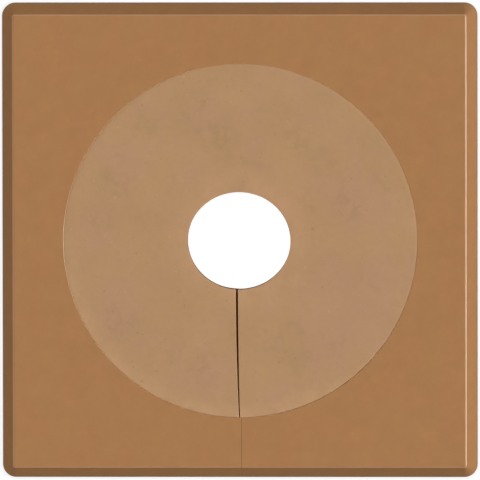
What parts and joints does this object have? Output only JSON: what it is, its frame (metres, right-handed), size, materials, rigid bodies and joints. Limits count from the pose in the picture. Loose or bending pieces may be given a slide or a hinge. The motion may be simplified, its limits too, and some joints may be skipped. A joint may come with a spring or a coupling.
{
  "type": "pipe escutcheon",
  "caption": "Square split wall plate with bevelled edges and a soft slit disc set in its middle, which closes round a pipe.",
  "frame": {"origin": "centre of the plate's back, on the plane of the wall that it lies on", "axes": "+Z out of the wall into the room; seen from the room, +X to the right and +Y up, with the slit and the split towards -Y"},
  "size_m": [0.1, 0.1, 0.006],
  "materials": {
    "tan_plastic": "satin moulded plastic",
    "soft_rubber": "matt soft sheet"
  },
  "bodies": {
    "root": {"split_frame": "tan_plastic", "seal_disc": "soft_rubber"}
  },
  "joints": []
}
